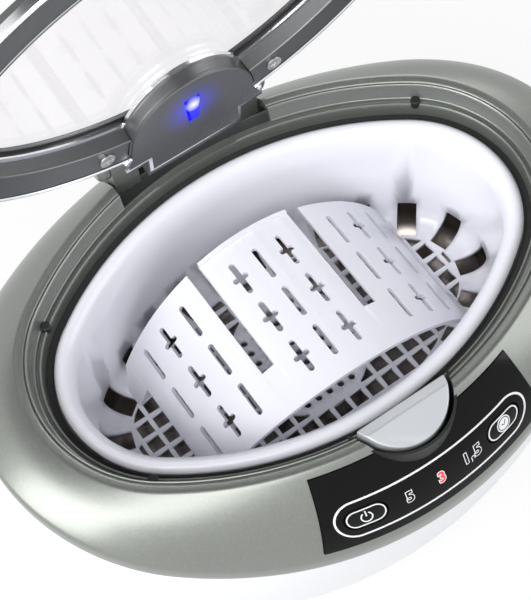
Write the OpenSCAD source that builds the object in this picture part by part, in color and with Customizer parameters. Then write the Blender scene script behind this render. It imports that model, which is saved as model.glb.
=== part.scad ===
// Table-top ultrasonic cleaner with a hinged window lid, a lift-out basket
// and an arched insert. Millimetres. +X is to the right, +Y to the back,
// +Z up, and the origin is the middle of the footprint, on the table.
//
// Seen from above every edge of the body is an oval made of four arcs, and
// the ovals lie one inside the other a fixed distance apart. An oval is
// named by its half length. Its half width is smaller by a difference d,
// and its arcs meet on lines of slope 4 in 3, so that the end arcs are
// centred 1.5 d from the middle and the side arcs 2 d beyond it.

/* [Overall] */
// Half length of the basket rim, which sets all the inner ovals
rim_half = 80; // [66:1:96]
// Height of the basket rim above the table
rim_z = 100; // [92:1:120]
// Half length less half width, for the rim and all that lies inside the crest
inner_diff = 29.4; // [24:0.2:32]
// Half length less half width, for the bevel's lower edge and below
outer_diff = 26; // [22:0.2:30]

/* [Housing] */
// Gap between the basket rim and the lip round it
rim_gap = 3.5; // [2.5:0.5:5]
// Height of the lip above the basket rim
lip_rise = 2.2; // [1.5:0.1:4]
// Run of the slope from the lip up to the groove
slope_run = 3.1; // [2:0.1:5]
// Run of the flat top from the groove to the crest
top_run = 3.7; // [3:0.1:6]
// Height of the crest above the basket rim
crest_rise = 8.8; // [7:0.1:12]
// Run of the outer bevel from the crest to its lower edge, at the ends
bevel_run = 15; // [11:0.5:20]
// Height of the bevel's lower edge above the basket rim, at the ends
edge_rise = 2.2; // [0:0.1:4]
// Drop of the bevel's lower edge from the ends to the front
edge_drop = 21; // [14:0.5:24]
// Height of the upright band under the bevel
band_h = 6; // [4:0.5:9]
// How far the bevel bulges beyond a straight slope
bevel_bulge = 2.6; // [0.5:0.1:4]
// Wall of the moulded housings
wall = 2.4; // [1.8:0.1:3]
// Half length of the housing's foot line
base_half = 90; // [82:1:96]
// Height of the feet
foot_h = 4; // [3:0.5:7]

/* [Tank and basket] */
// Depth of the tank under its flange
tank_depth = 52; // [43:1:55]
// Thickness of the steel tank
tank_t = 0.8; // [0.6:0.1:1.5]
// Height of the rolled basket rim
rim_h = 4; // [3:0.5:5]
// Width of the rolled basket rim
rim_w = 4; // [3.5:0.5:5]
// Gap between the tank's floor and the basket's
floor_gap = 8; // [6:0.5:12]
// Wall of the basket
basket_t = 2; // [1.6:0.1:2.6]
// Clearance between the basket and the tank
basket_gap = 1.2; // [0.8:0.1:2]
// Slope of the tank and basket walls
wall_slope = 4.5; // [3:0.5:7]
// Side of the square holes in the floor
grid_hole = 4.9; // [4:0.1:5.2]
// Spacing of the square holes
grid_pitch = 6.3; // [6:0.1:7]
// Diameter of the round holes in the floor
round_hole = 2.4; // [1.8:0.1:2.8]
// Spacing of the round holes
round_pitch = 4.4; // [4.2:0.1:5]
// Radius of the round-holed field in the middle of the floor
field_r = 22; // [16:1:24]

/* [Insert] */
// Distance of the insert's feet inside the end of the basket's flat floor
foot_inset = 11.7; // [9:0.1:16]
// Depth of the insert's crest under the basket rim
crest_drop = 10.4; // [8:0.1:16]
// Half depth of the insert from front to back
insert_deep = 30.3; // [27:0.1:31]
// Thickness of the insert
insert_t = 1.6; // [1.2:0.1:2]
// Half width of the opening in each foot
foot_open = 14; // [10:0.5:16]
// Height of the opening in each foot
foot_open_h = 7.7; // [5:0.1:10]
// Half width of the middle tongue
tongue_half = 17; // [14:0.5:18]
// Gap between two tongues
tongue_gap = 4.6; // [2:0.1:5]
// Spacing of the slot rows from front to back
slot_row = 16.8; // [15.5:0.1:17.5]
// Length of a slot
slot_l = 12.6; // [10:0.1:14]
// Width of a slot
slot_w = 2; // [1.6:0.1:2.6]

/* [Lid] */
// Clearance between the lid's edge and the lip
lid_gap = 2.3; // [1.5:0.1:3]
// Width of the lid's flat ring, from its edge to the raised line
lid_ring = 10.6; // [9:0.1:12]
// Depth from the lid's flat ring to its window
lid_depth = 5.4; // [4:0.1:8]
// Height of the closed lid's flat ring above the basket rim
lid_face_rise = 4.3; // [3.5:0.1:6]
// Thickness of the window
window_t = 2.2; // [1.5:0.1:3]
// Distance of the hinge line behind the middle
hinge_y = 62.5; // [61:0.5:66]
// Height of the hinge line above the basket rim
hinge_rise = 14; // [12.5:0.5:16]
// How far the lid opens
open_angle = 85; // [80:1:88]
// Radius of the hinge pins
pin_r = 1.5; // [1.2:0.1:1.8]
// Running clearance of a hinge pin in its bore
pin_gap = 0.05; // [0.02:0.01:0.08]
// Radius of the hinge barrels
barrel_r = 4.2; // [3.6:0.1:4.6]
// Half width of the lid's hinge tongue
hinge_tongue = 17.2; // [14:0.1:18]
// Length of each barrel on the housing
barrel_l = 9; // [8:0.5:10]

/* [Controls] */
// Half width of the control panel along its top edge
panel_half = 34.5; // [30:0.5:37]
// Thickness of the control panel
panel_t = 2; // [1.5:0.1:2.5]
// How far the panel stands proud of the bevel
panel_proud = 0.5; // [0.3:0.1:1]
// Half width of the latch button
latch_half = 15.5; // [13:0.5:17]
// Travel of the latch button, straight down
latch_travel = 1.2; // [0.8:0.1:1.5]
// Travel of the two keys
key_travel = 0.6; // [0.4:0.1:1]
// Distance of each key from the middle of the panel
key_x = 24.7; // [22:0.1:26]
// Length of a key
key_l = 13; // [11:0.5:14]
// Width of a key
key_w = 7; // [6:0.5:8]
// Clearance round a moving button
button_gap = 0.4; // [0.3:0.1:0.6]

/* [Hidden] */

// Clearance between two fixed pieces that sit against each other
seat = 0.2;
eps = 0.01;
far = 400;
arc_fn = 144;
hull_fn = 72;

// Ovals, by half length
lip_half = rim_half + rim_gap;
groove_half = lip_half + slope_run;
crest_half = groove_half + top_run;
edge_half = crest_half + bevel_run;
mid_half = (crest_half + edge_half) / 2 + 0.2 * bevel_bulge;
tank_half = rim_half - rim_w + basket_gap + 0.4;
basket_half = tank_half - basket_gap;
lid_half = lip_half - lid_gap;
window_half = lid_half - lid_ring;

// Heights
lip_z = rim_z + lip_rise;
crest_z = rim_z + crest_rise;
edge_z = rim_z + edge_rise;
flange_z = rim_z - rim_h;
seal_t = 1.5;
tank_floor_z = flange_z - tank_depth;
basket_floor_z = tank_floor_z + floor_gap + basket_t;
hinge_z = rim_z + hinge_rise;
face_z = rim_z + lid_face_rise;
plate_t = 2.4;

edge_width = edge_half - outer_diff;
crest_width = crest_half - inner_diff;
lip_width = lip_half - inner_diff;

// The bevel at the front, seen from the side
front_run = edge_width - crest_width;
front_fall = crest_z - edge_z + edge_drop;
bevel_angle = atan2(front_fall, front_run);

// Oval outline of half length a
module oval(a, d = inner_diff) {
    end_r = a - 1.5 * d;
    side_r = a + d;
    intersection() {
        translate([0, -2 * d]) circle(side_r);
        translate([0, 2 * d]) circle(side_r);
        square([3 * d + 1.2 * end_r, 4 * side_r], center = true);
    }
    for (x = [-1, 1]) translate([x * 1.5 * d, 0]) circle(end_r);
}

// Flat oval plate of half length a, from height z up by h
module plate(a, z, h, d = inner_diff) {
    translate([0, 0, z]) linear_extrude(h) oval(a, d);
}

// Carries an outline, drawn with x as the half length, round the oval
module carry(d = inner_diff) {
    for (side = [0, 1]) mirror([side, 0, 0]) intersection() {
        translate([1.5 * d, 0, 0]) rotate_extrude($fn = arc_fn) translate([-1.5 * d, 0]) children();
        translate([1.5 * d, 0, 0]) linear_extrude(far, center = true)
            polygon([[0, 0], [300, -400], [300, 400]]);
    }
    for (side = [0, 1]) mirror([0, side, 0]) intersection() {
        translate([0, -2 * d, 0]) rotate_extrude($fn = arc_fn) translate([d, 0]) children();
        translate([0, -2 * d, 0]) linear_extrude(far, center = true)
            polygon([[0, 0], [300, 400], [-300, 400]]);
    }
}

// Drum lying along X: its top is at z, and it has fallen by drop at y = half
module drum(z, drop, half) {
    r = (half * half + drop * drop) / (2 * drop);
    translate([0, 0, z - r]) rotate([0, 90, 0]) cylinder(r = r, h = far, center = true, $fn = arc_fn);
}

// Places children on the front bevel: x across, y up the slope, z outwards.
// The origin is at the given share of the way down from crest to edge.
module on_bevel(share, lift = 0) {
    y = -(crest_width + front_run * share);
    z = crest_z - front_fall * share;
    translate([0, y, z]) rotate([bevel_angle, 0, 0]) translate([0, 0, lift]) children();
}

// Solid under the crest and the bevel, shrunk by i
module bevel_body(i = 0) {
    up = 0.8 * i;
    floor_z = edge_z - edge_drop - band_h - 6;
    hull() {
        intersection() {
            plate(edge_half - i, floor_z, 60, outer_diff, $fn = hull_fn);
            drum(edge_z - up, edge_drop, edge_width);
        }
        intersection() {
            plate(mid_half - i, floor_z, 60, outer_diff, $fn = hull_fn);
            drum((crest_z + edge_z) / 2 + 0.42 * bevel_bulge - up,
                 edge_drop / 2 - 0.12 * bevel_bulge, (mid_half - outer_diff));
        }
        plate(crest_half - i, crest_z - up - eps, eps, $fn = hull_fn);
    }
}

notch_half = 28;
notch_wall = 2.2;
panel_low = panel_half + 5.5;
panel_low_share = 0.92;

// Wedge that the control panel and its recess are cut from. Its upper edge
// follows the crest, a little way down the bevel.
panel_top_run = 1.5;
module panel_wedge(grow = 0) difference() {
    on_bevel(0) translate([0, 0, -14]) linear_extrude(30) polygon([
        [-panel_half - grow, 3], [panel_half + grow, 3],
        [panel_low + grow, -panel_low_share * front_fall / sin(bevel_angle) - grow],
        [-panel_low - grow, -panel_low_share * front_fall / sin(bevel_angle) - grow]]);
    plate(crest_half + panel_top_run - grow, crest_z - 30, 60, $fn = arc_fn);
}

// Half-moon outline of the latch button, seen from above
latch_back = lip_width + 0.6;
latch_depth = 12.8;
latch_r = (latch_half * latch_half + latch_depth * latch_depth) / (2 * latch_depth);
module moon(grow = 0) intersection() {
    translate([0, latch_r - latch_back - latch_depth]) circle(latch_r + grow);
    translate([-far / 2, -far - latch_back + grow]) square([far, far]);
}

module key_outline(grow = 0) {
    for (x = [-1, 1]) translate([x * (key_l - key_w) / 2, 0]) circle(key_w / 2 + grow);
    square([key_l - key_w, key_w + 2 * grow], center = true);
}

key_share = 0.6;
key_low = 4.6;
key_turn = 14;
module at_key(side) {
    on_bevel(key_share) translate([side * key_x, 1.6, 0]) rotate([0, 0, side * key_turn]) children();
}

module upper_housing() color("dimgray") {
    difference() {
        bevel_body();
        bevel_body(wall);
        drum(edge_z - band_h, edge_drop, edge_width);
        plate(groove_half, crest_z - 30, 60, $fn = arc_fn);
        translate([-notch_half, lip_width + 1, lip_z]) cube([2 * notch_half, far, far]);
        panel_wedge(seat);
        translate([0, 0, crest_z - 30]) linear_extrude(60, $fn = arc_fn) moon(latch_travel + 0.3);
    }
    // Shelf under the latch spring
    translate([-4, stem_y - 3.4, spring_z - 2 - seat]) cube([8, -stem_y - lip_width - 1.4 + 3.4, 2]);
    translate([-4, -lip_width - 2.4, spring_z - 2 - seat]) cube([8, 1.2, lip_z - spring_z]);
    // Recess wall: the inner slope and the lip
    difference() {
        carry() polygon([
            [groove_half + 0.8, crest_z - 0.4], [groove_half, crest_z - 0.4], [lip_half, lip_z],
            [lip_half - 0.9, flange_z + seal_t + seat], [lip_half + 1.4, flange_z + seal_t + seat],
            [lip_half + 2, lip_z - 1], [groove_half + 0.8, crest_z - 2.6]]);
        translate([-latch_half - 0.6, -lip_width - 30, lip_z + 0.4]) cube([2 * latch_half + 1.2, 30, 30]);
        translate([-notch_half, lip_width - 1, lip_z]) cube([2 * notch_half, far, far]);
        at_bumpers(0.1) cylinder(r = bumper_r + 0.1, h = far, $fn = 32);
    }
    // Deck and cheeks of the hinge recess
    difference() {
        intersection() {
            bevel_body();
            translate([-notch_half - notch_wall, lip_width + 1, lip_z - 2])
                cube([2 * (notch_half + notch_wall), 30, 30]);
        }
        translate([-notch_half, 0, lip_z]) cube([2 * notch_half, far, far]);
    }
}

// Side of the lower housing: t goes from its foot line to its top
turn_in = 7;
function out(t) = base_half + (edge_half - base_half) * t + 18 * t * (1 - t);
function up(t) = foot_h + 2 + (edge_z - band_h - foot_h - 2) * t;
module lower_housing() color("white") {
    steps = 6;
    difference() {
        carry(outer_diff) polygon(concat(
            [for (i = [0:steps]) [out(i / steps), up(i / steps)]],
            [for (i = [steps:-1:0]) [out(i / steps) - wall, up(i / steps)]],
            [[base_half - turn_in, foot_h], [base_half - 2, foot_h]]));
        difference() {
            translate([-far / 2, -far / 2, 30]) cube([far, far, far / 2]);
            drum(edge_z - band_h - seat, edge_drop, edge_width);
        }
        translate([0, inlet_back, inlet_z]) cube([inlet_w + 0.4, 30, inlet_h + 0.4], center = true);
    }
    // Bosses that the base screws bite into, each on a rib from the side
    for (x = [-1, 1], y = [-1, 1]) quarter(x, y) difference() {
        union() {
            translate([foot_x, foot_y, foot_h + plate_t + seat]) cylinder(r = 4, h = 12, $fn = 48);
            translate([foot_x - 1, foot_y, foot_h + plate_t + seat]) cube([2, boss_rib, 12]);
        }
        translate([foot_x, foot_y, 0]) cylinder(r = screw_r, h = 40, $fn = 48);
    }
}

// Mirrors children into one of the four quarters
module quarter(x, y) mirror([x < 0 ? 1 : 0, 0, 0]) mirror([0, y < 0 ? 1 : 0, 0]) children();
boss_rib = 10.5;
inlet_w = 22;
inlet_h = 12;
inlet_z = 26;
inlet_back = out((inlet_z - foot_h - 2) / (edge_z - band_h - foot_h - 2)) - outer_diff;
foot_x = 62;
foot_y = 34;
foot_r = 8;
screw_r = 1.75;
screw_l = 13;
head_r = 3.4;
head_h = 1.4;
head_z = 0.6;

module base_plate() color("gainsboro") difference() {
    plate(base_half - 7 - seat, foot_h, plate_t, outer_diff, $fn = arc_fn);
    for (x = [-1, 1], y = [-1, 1]) translate([x * foot_x, y * foot_y, 0]) {
        cylinder(r = screw_r + 0.3, h = far, center = true, $fn = 48);
    }
    for (i = [-4:4]) translate([i * 7, 0, foot_h]) cube([3, 24, 3 * plate_t], center = true);
}

// Ring-shaped rubber foot, with its screw head inside
module foot(x, y) color("black") translate([x * foot_x, y * foot_y, 0]) difference() {
    cylinder(r1 = foot_r - 1, r2 = foot_r, h = foot_h - seat, $fn = 72);
    translate([0, 0, -eps]) cylinder(r = head_r + 0.8, h = head_z + head_h + seat, $fn = 48);
    cylinder(r = screw_r + 0.3, h = far, center = true, $fn = 48);
}

// Four screws up through the feet into the base
module base_screws() color("silver") for (x = [-1, 1], y = [-1, 1])
    translate([x * foot_x, y * foot_y, 0]) difference() {
        union() {
            translate([0, 0, head_z]) cylinder(r = screw_r - 0.05, h = screw_l, $fn = 48);
            translate([0, 0, head_z]) cylinder(r = head_r, h = head_h, $fn = 48);
        }
        for (a = [0, 90]) rotate([0, 0, a]) cube([3.6, 0.8, 2.6], center = true);
    }

// Steel tank: flange, sloping wall, round corner and flat floor
corner_r = 11;
function corner(a, z, r, slope, i, n) =
    let (t = slope + (90 - slope) * i / n) [a - r + r * cos(t), z + r - r * sin(t)];
function tank_low(a, fall) = a - fall * tan(wall_slope);

module tank() color("silver") {
    wall_fall = tank_depth - corner_r;
    low = tank_low(tank_half, wall_fall);
    n = 6;
    z = tank_floor_z;
    r = corner_r;
    union() {
        carry() polygon(concat(
            [[lip_half + 1.2, flange_z - tank_t], [lip_half + 1.2, flange_z], [tank_half, flange_z]],
            [for (i = [0:n]) corner(low, z, r, wall_slope, i, n)],
            [[low - r - 3, z], [low - r - 3, z - tank_t]],
            [for (i = [n:-1:0]) corner(low + tank_t, z - tank_t, r + tank_t, wall_slope, i, n)],
            [[tank_half + tank_t, flange_z - tank_t]]));
        plate(low - r - 1.5, z - tank_t, tank_t, $fn = arc_fn);
    }
}

module tank_seal() color("black") carry() polygon([
    [lip_half - 0.6, flange_z + seat / 2], [lip_half + 1.1, flange_z + seat / 2],
    [lip_half + 1.1, flange_z + seal_t], [lip_half - 0.6, flange_z + seal_t]]);

// Bolted transducer under the middle of the tank
horn_z = tank_floor_z - tank_t - seat;
horn_h = 14;
module transducer_horn() color("lightgray") translate([0, 0, horn_z - horn_h]) difference() {
    union() {
        cylinder(r = 11, h = horn_h, $fn = 96);
        translate([0, 0, horn_h - 6]) cylinder(r1 = 12, r2 = 20, h = 6, $fn = 96);
    }
    translate([0, 0, -eps]) cylinder(r = 3, h = 9, $fn = 48);
}
module piezo_rings() color("tan") for (i = [0, 1])
    translate([0, 0, horn_z - horn_h - 3.6 - i * 3.9]) difference() {
        cylinder(r = 11, h = 3.5, $fn = 96);
        cylinder(r = 3.4, h = far, center = true, $fn = 48);
    }
backing_z = horn_z - horn_h - 3.6 - 3.9 - seat;
module transducer_backing() color("gray") translate([0, 0, backing_z - 8]) difference() {
    cylinder(r = 11, h = 8, $fn = 96);
    cylinder(r = 3.1, h = far, center = true, $fn = 48);
}
module transducer_bolt() color("dimgray") translate([0, 0, backing_z - 8 - seat]) union() {
    cylinder(r = 2.8, h = horn_z - horn_h + 8 - backing_z + 8, $fn = 48);
    translate([0, 0, -2.4]) cylinder(r = 5, h = 2.4, $fn = 6);
}

// Driver electronics on pillars on the base plate, beside the transducer
board_z = foot_h + plate_t + 5;
module driver_board() color("darkgreen") union() {
    difference() {
        translate([18, -24, board_z]) cube([44, 48, 1.6]);
        for (x = [22, 58], y = [-20, 20]) translate([x, y, board_z])
            cylinder(r = 1.6, h = 9, center = true, $fn = 32);
    }
    for (x = [22, 58], y = [-20, 20]) translate([x, y, foot_h + plate_t + eps]) difference() {
        cylinder(r = 2.6, h = 5, $fn = 32);
        cylinder(r = 1.3, h = far, center = true, $fn = 32);
    }
}
module driver_transformer() color("gold") translate([28, -8, board_z + 1.6 + eps]) union() {
    cube([14, 16, 3]);
    translate([0, 0, 11]) cube([14, 16, 3]);
    translate([0, 0, 2]) cube([3, 16, 10]);
    translate([11, 0, 2]) cube([3, 16, 10]);
    translate([7, 8, 2]) cylinder(r = 3.5, h = 10, $fn = 48);
}
module driver_capacitors() color("navy") for (p = [[50, -14, 5, 15], [50, 0, 4, 12], [50, 12, 4, 12], [34, 16, 3, 8]])
    translate([p[0], p[1], board_z + 1.6 + eps]) cylinder(r = p[2], h = p[3], $fn = 48);
module heat_sink() color("lightgray") translate([20, -21, board_z + 1.6 + eps]) union() {
    cube([18, 2, 14]);
    for (i = [0:4]) translate([i * 4, 1, 0]) cube([1.2, 7, 14]);
}

// Two-pin mains inlet in the back of the base
module power_inlet() color("black") {
    translate([0, inlet_back - 11, inlet_z]) difference() {
        union() {
            cube([inlet_w, 20, inlet_h], center = true);
            translate([0, 4.5, 0]) cube([inlet_w + 4, 1.6, inlet_h + 4], center = true);
        }
        for (x = [-1, 1]) translate([x * 4.3, 0, 0]) rotate([-90, 0, 0]) cylinder(r = 3.7, h = 20, $fn = 48);
        translate([0, 10, 0]) cube([8.6, 20, 7.4], center = true);
    }
    for (x = [-1, 1]) translate([x * 4.3, inlet_back - 12, inlet_z])
        rotate([-90, 0, 0]) cylinder(r = 1, h = 9, $fn = 24);
}

// Plate that fills the opening in the bevel, with two posts for its board
post_x = 12;
module control_panel() color("black") {
    for (x = [-1, 1]) on_bevel(key_share) translate([x * post_x, -3, seat - board_drop + board_t])
        cylinder(r = 1.6, h = board_drop - board_t - seat - 0.4, $fn = 32);
    panel_plate();
}
module panel_plate() difference() {
    intersection() {
        bevel_body(-panel_proud);
        panel_wedge();
    }
    bevel_body(panel_t);
    drum(edge_z - band_h, edge_drop, edge_width);
    translate([0, 0, crest_z - 30]) linear_extrude(60, $fn = arc_fn) moon(latch_travel + 0.3);
    for (side = [-1, 1]) at_key(side) translate([0, 0, -8]) linear_extrude(20, $fn = 64) key_outline(button_gap);
}

module key(side) color("black") {
    intersection() {
        bevel_body(-panel_proud);
        at_key(side) translate([0, 0, -key_low]) linear_extrude(12, $fn = 64) key_outline();
    }
    at_key(side) translate([0, 0, -key_low]) linear_extrude(0.8, $fn = 64) key_outline(0.9);
}
module power_key() key(-1);
module timer_key() key(1);

// Half-moon push button that frees the lid: a flat crown on a short stem
latch_low = lip_z + latch_travel + 0.9;
stem_y = -latch_back - 7;
stem_r = 3;
stem_l = 5;
spring_l = 7;
module latch_button() color("lightgray") {
    intersection() {
        translate([0, 0, latch_low]) linear_extrude(30, $fn = arc_fn) moon();
        rotate([90, 0, 90]) linear_extrude(far, center = true) polygon([
            [-latch_back + 1, latch_low - 1], [-latch_back + 1, crest_z + 0.2], [-latch_back - 3.4, crest_z + 1.8],
            [-latch_back - latch_depth - 1, crest_z - 2.6], [-latch_back - latch_depth - 1, latch_low - 1]]);
    }
    translate([0, stem_y, latch_low - stem_l]) difference() {
        cylinder(r = stem_r, h = stem_l + 1, $fn = 48);
        translate([0, 0, -eps]) cylinder(r = 2, h = 3, $fn = 48);
    }
}

spring_z = latch_low - stem_l + 3 - seat - spring_l;
module latch_spring() color("silver") translate([0, stem_y, spring_z]) difference() {
    cylinder(r = 1.8, h = spring_l, $fn = 48);
    translate([0, 0, -eps]) cylinder(r = 1.2, h = far, $fn = 48);
}

// Board behind the panel, with its switches and lamps
board_drop = 9;
board_t = 1.6;
board_half = 31;
module control_board() color("darkgreen")
    on_bevel(key_share) translate([-board_half, -8.5, -board_drop]) cube([2 * board_half, 14, board_t]);
module key_switches() color("dimgray") for (side = [-1, 1]) at_key(side)
    translate([0, 0, -board_drop + 1.6 + eps]) {
        translate([-3, -3, 0]) cube([6, 6, 1.4]);
        cylinder(r = 1.6, h = board_drop - board_t - key_low - key_travel - seat, $fn = 32);
    }
module timer_lamps() color("red") for (x = [-9, 0, 9]) on_bevel(key_share)
    translate([x, 1, -board_drop + 1.6 + eps]) cylinder(r = 1.5, h = 3, $fn = 32);

// Hinge blocks stand on the deck and hold the pins
block_x = hinge_tongue + 0.9;
module hinge_block(side) color("darkgray") {
    x = side > 0 ? block_x : -block_x - barrel_l;
    difference() {
        union() {
            translate([x, hinge_y, hinge_z]) rotate([0, 90, 0]) cylinder(r = barrel_r, h = barrel_l, $fn = 96);
            translate([x, hinge_y - barrel_r, lip_z + eps]) cube([barrel_l, 2 * barrel_r - 2.6, hinge_z - lip_z]);
        }
        translate([0, hinge_y, hinge_z]) rotate([0, 90, 0])
            cylinder(r = pin_r + pin_gap, h = far, center = true, $fn = 64);
    }
}
module hinge_block_left() hinge_block(-1);
module hinge_block_right() hinge_block(1);

// Pin with a domed cap on its outer end
pin_l = barrel_l + 8;
cap_l = 4;
module hinge_pin(side) color("silver") rotate([0, 0, side > 0 ? 0 : 180])
    translate([block_x - 7, side * hinge_y, hinge_z]) rotate([0, 90, 0]) union() {
        cylinder(r = pin_r, h = pin_l, $fn = 64);
        translate([0, 0, barrel_l + 7 + 0.3]) cylinder(r = barrel_r, h = cap_l - 1.5, $fn = 96);
        translate([0, 0, barrel_l + 7 + 0.3 + cap_l - 1.5]) cylinder(r1 = barrel_r, r2 = barrel_r - 1.2, h = 1.5, $fn = 96);
    }
module hinge_pin_left() hinge_pin(-1);
module hinge_pin_right() hinge_pin(1);

// Four soft stops that the lid comes down on
bumper_r = 1.6;
bumper_deep = 1.4;
bumper_turn = 50;
module at_bumpers(grow = 0) for (x = [-1, 1], y = [-1, 1])
    quarter(x, y) translate([1.5 * inner_diff, 0, lip_z - bumper_deep - grow])
        rotate([0, 0, bumper_turn]) translate([lip_half - 1.5 * inner_diff + 0.6, 0, 0]) children();
module lid_bumpers() color("black") at_bumpers()
    cylinder(r = bumper_r, h = face_z - lip_z + bumper_deep - 0.3, $fn = 32);

// The lid is drawn shut; lid_pose turns it to where it stands open
module lid_pose() {
    translate([0, hinge_y, hinge_z]) rotate([-open_angle, 0, 0]) translate([0, -hinge_y, -hinge_z]) children();
}

lid_width = (lid_half - inner_diff);
ring_t = 2.4;
window_z = face_z + lid_depth;
boss_half = 21;
boss_r = 22.7;
boss_y = (window_half - inner_diff) - 16.5 + boss_r;
module boss_outline(grow = 0) intersection() {
    translate([0, boss_y]) circle(boss_r + grow);
    translate([-far / 2, 0]) square([far, lid_width - 5.5 + grow]);
}

// Inner moulding: flat ring, inner slope and hinge tongue
module lid_ring() color("dimgray") lid_pose() difference() {
    union() {
        carry() polygon([
            [lid_half - 1, face_z], [lid_half - 1, face_z + ring_t], [window_half + 2.2, face_z + ring_t],
            [window_half + 1.4, window_z - seat], [window_half - 1.4, window_z - seat],
            [window_half, face_z]]);
        translate([-hinge_tongue, lid_width - 5, face_z]) cube([2 * hinge_tongue, hinge_y - lid_width + 5, 6.4]);
        translate([-hinge_tongue, hinge_y - 2.2, face_z]) cube([2 * hinge_tongue, 4.4, hinge_z - face_z]);
        translate([0, hinge_y, hinge_z]) rotate([0, 90, 0])
            cylinder(r = barrel_r, h = 2 * hinge_tongue, center = true, $fn = 96);
    }
    translate([0, hinge_y, hinge_z]) rotate([0, 90, 0])
        cylinder(r = pin_r + pin_gap, h = far, center = true, $fn = 64);
    translate([0, 0, face_z - eps]) linear_extrude(30, $fn = arc_fn) boss_outline(seat);
    at_lid_screws() cylinder(r = lid_screw_r + seat, h = 10, $fn = 32);
}

// Outer moulding over the ring, with the window's opening
module lid_cover() color("dimgray") lid_pose() difference() {
    carry() polygon([
        [lid_half - 1, face_z + ring_t + seat], [lid_half - 1.5, face_z + 6], [lid_half - 5, window_z + 2.8],
        [window_half + 1, window_z + window_t + 2.4], [window_half - 3, window_z + window_t + 1.6],
        [window_half - 3, window_z + window_t + seat], [window_half + 2.4, window_z + window_t + seat],
        [window_half + 2.4, face_z + ring_t + seat]]);
    translate([-hinge_tongue - seat, lid_width - 5 - seat, 0]) cube([2 * (hinge_tongue + seat), 30, face_z + 6.4 + seat]);
    linear_extrude(window_z + eps, $fn = arc_fn) boss_outline(seat);
    at_lid_screws() cylinder(r = lid_screw_r + 0.05, h = 10, $fn = 32);
}

// Bright trim round the lid's edge
module lid_trim() color("silver") lid_pose() difference() {
    carry() polygon([
        [lid_half - 1 + seat, face_z + 0.4], [lid_half, face_z + 0.4], [lid_half, face_z + 3],
        [lid_half - 1 + seat, face_z + 3]]);
    translate([-hinge_tongue - seat, lid_width - 8, 0]) cube([2 * (hinge_tongue + seat), 30, far]);
}

module lid_window() color("lightcyan") lid_pose() plate(window_half + 1.2, window_z, window_t, $fn = arc_fn);

// Lamp housing on the hinge side of the window
module lamp_boss() color("gray") lid_pose() difference() {
    translate([0, 0, face_z - 0.6]) linear_extrude(window_z - face_z + 0.6 - seat, $fn = arc_fn) boss_outline();
    translate([0, 0, face_z + 1.4]) linear_extrude(window_z, $fn = arc_fn) boss_outline(-1.6);
    lens_prism(0.1);
}
lens_y0 = 33.3;
lens_y1 = 44.6;
module lens_prism(grow = 0) translate([0, 0, face_z - 1.2]) linear_extrude(4) polygon([
    [-2.9 - grow, lens_y0 - grow], [2.9 + grow, lens_y0 - grow],
    [1.9 + grow, lens_y1 + grow], [-1.9 - grow, lens_y1 + grow]]);
module lamp_lens() color("blue") lid_pose() intersection() {
    lens_prism();
    translate([-10, 20, face_z - 1]) cube([20, 40, 2.8]);
}
module lamp_board() color("darkgreen") lid_pose()
    translate([-8, lens_y0, face_z + 1.9]) cube([16, lens_y1 - lens_y0, 1.2]);

lid_screw_r = 1.4;
module at_lid_screws() for (x = [-1, 1]) translate([x * 30, 41.5, face_z - 1]) children();
module lid_screws() color("silver") lid_pose() at_lid_screws() difference() {
    union() {
        cylinder(r = 2.6, h = 1 - eps, $fn = 48);
        cylinder(r = lid_screw_r, h = 6, $fn = 32);
    }
    for (a = [0, 90]) rotate([0, 0, a]) cube([3, 0.6, 0.9], center = true);
}

// Basket: rolled rim, sloping wall, round corner, and a floor full of holes
basket_r = 8;
basket_fall = flange_z - basket_floor_z + basket_t - basket_r;
basket_low = tank_low(basket_half, basket_fall);
floor_half = basket_low - basket_r;
window_w = 6.6;
window_l = basket_r + 4;
module basket() color("white") difference() {
    n = 5;
    z = basket_floor_z;
    r = basket_r;
    union() {
        carry() polygon(concat(
            [[rim_half - 0.8, flange_z + 0.05], [rim_half, flange_z + 1], [rim_half, rim_z - 1.4],
             [rim_half - 1.2, rim_z - 0.2], [rim_half - 2.4, rim_z], [rim_half - 3.6, rim_z - 0.6],
             [basket_half - basket_t, rim_z - 3]],
            [for (i = [0:n]) corner(basket_low - basket_t, z, r - basket_t, wall_slope, i, n)],
            [[floor_half - 3, z], [floor_half - 3, z - basket_t]],
            [for (i = [n:-1:0]) corner(basket_low, z - basket_t, r, wall_slope, i, n)],
            [[basket_half, flange_z + 0.05]]));
        plate(floor_half - 1.5, z - basket_t, basket_t, $fn = arc_fn);
    }
    // Windows in a ring round the corner of the floor: four at each end, eight along each side
    for (side = [0, 180], a = [-52.5, -17.5, 17.5, 52.5]) rotate([0, 0, side])
        translate([1.5 * inner_diff, 0, 0]) rotate([0, 0, a]) corner_window(basket_low - 1.5 * inner_diff);
    for (side = [0, 180], i = [-3.5:3.5]) rotate([0, 0, side])
        translate([0, -2 * inner_diff, 0]) rotate([0, 0, 90 + i * 8]) corner_window(basket_low + inner_diff);
    translate([0, 0, z - 5]) linear_extrude(9) floor_holes();
}

// Window through the round corner of the basket, which ends at distance r
module corner_window(r) translate([r + 1, 0, basket_floor_z + 1.5])
    rotate([0, 0, 180]) translate([0, -window_w / 2, -5]) cube([window_l, window_w, 10.5]);

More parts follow.
